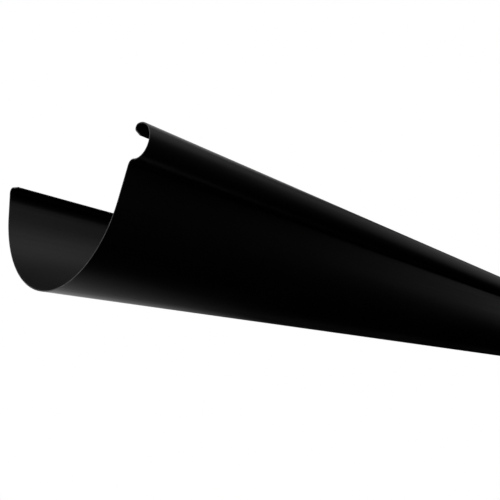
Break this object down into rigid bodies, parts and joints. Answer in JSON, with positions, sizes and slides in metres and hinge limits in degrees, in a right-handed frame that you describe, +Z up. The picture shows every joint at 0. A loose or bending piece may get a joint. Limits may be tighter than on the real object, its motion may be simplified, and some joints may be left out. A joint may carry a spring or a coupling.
{
  "type": "gutter section",
  "caption": "Straight length of half-round rain gutter, roll-formed from sheet steel, with a rounded bead along the front edge and an inward lip along the back.",
  "frame": {"origin": "on the floor, in the middle of the gutter's length and of its width as it lies", "axes": "+X along the gutter, +Y towards the back wall and its lip, away from the front bead, +Z up"},
  "size_m": [2, 0.1706, 0.1063],
  "materials": {
    "painted_steel": "satin"
  },
  "bodies": {
    "root": {"gutter": "painted_steel"}
  },
  "joints": []
}
